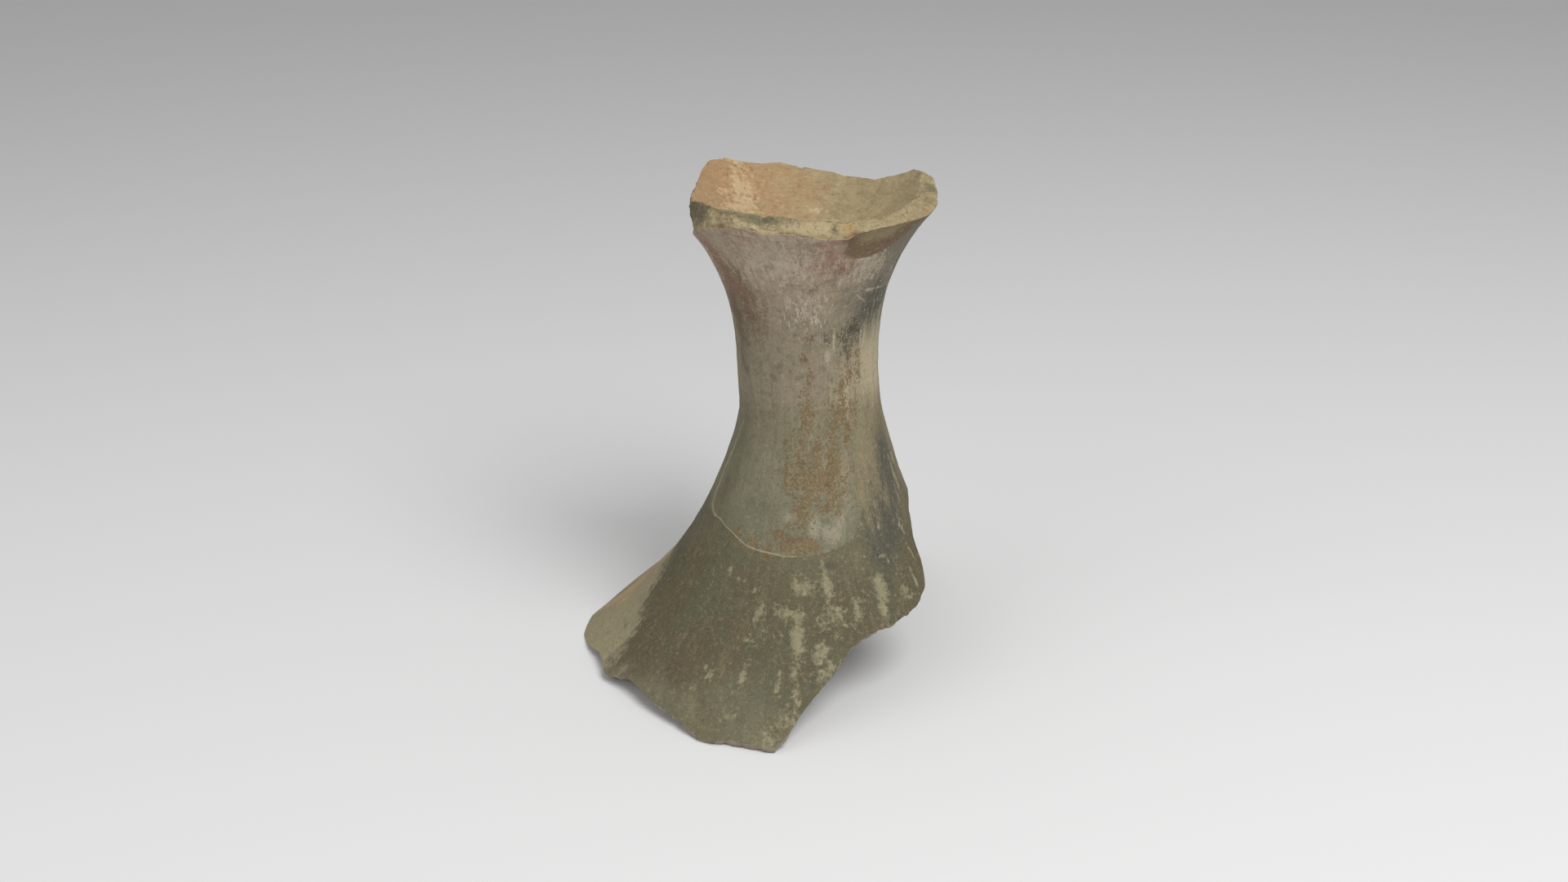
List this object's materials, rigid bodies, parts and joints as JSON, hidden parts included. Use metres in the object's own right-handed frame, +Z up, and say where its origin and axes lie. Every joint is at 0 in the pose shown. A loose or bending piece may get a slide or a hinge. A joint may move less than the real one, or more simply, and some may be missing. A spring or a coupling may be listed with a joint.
{
  "type": "footed bowl fragment",
  "caption": "Broken clay pedestal of a footed bowl, with a waisted hollow stem, the shallow floor of the bowl above and part of a spreading trumpet foot below.",
  "frame": {"origin": "centre of the bounding box in plan, at the level that the broken foot rests on", "axes": "+Z up along the stem, -Y towards the side that the picture shows, +X to the right in the picture"},
  "size_m": [0.1298, 0.1698, 0.178],
  "materials": {
    "fired_clay": "matt fired clay with worn slip and fire clouds"
  },
  "bodies": {
    "root": {"footed_bowl": "fired_clay"}
  },
  "joints": []
}
